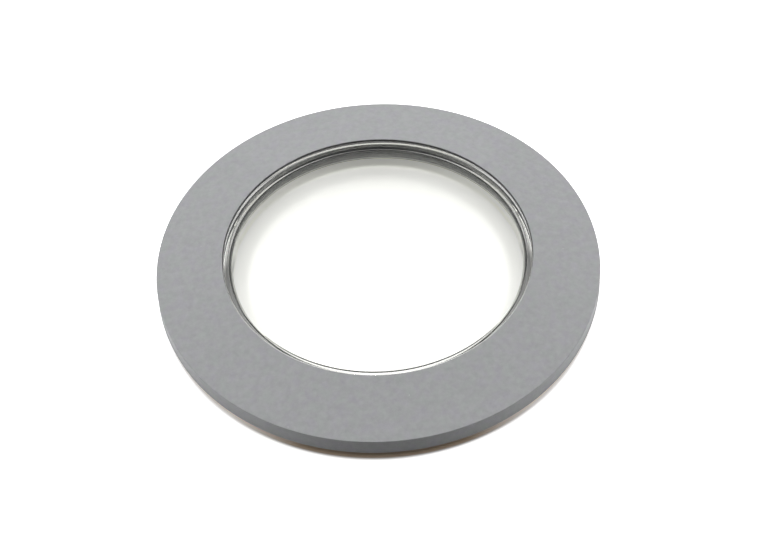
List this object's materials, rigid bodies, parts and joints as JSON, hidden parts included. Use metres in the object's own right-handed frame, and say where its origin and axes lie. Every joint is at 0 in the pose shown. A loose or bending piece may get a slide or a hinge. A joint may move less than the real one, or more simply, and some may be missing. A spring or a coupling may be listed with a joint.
{
  "type": "bean hopper lid",
  "caption": "Round lid for a coffee bean hopper: a soft grey conical rim gripping a clear flat window cap that plugs into the hopper mouth.",
  "frame": {"origin": "middle of the plane that the lid stands on, on the lid's axis", "axes": "+Z along the lid's axis, from the skirt's foot up to the window; X and Y are alike"},
  "size_m": [0.1404, 0.1404, 0.0128],
  "materials": {
    "clear_plastic": "polished, see-through",
    "grey_silicone": "matte"
  },
  "bodies": {
    "root": {"window_cap": "clear_plastic", "rim_seal": "grey_silicone"}
  },
  "joints": []
}
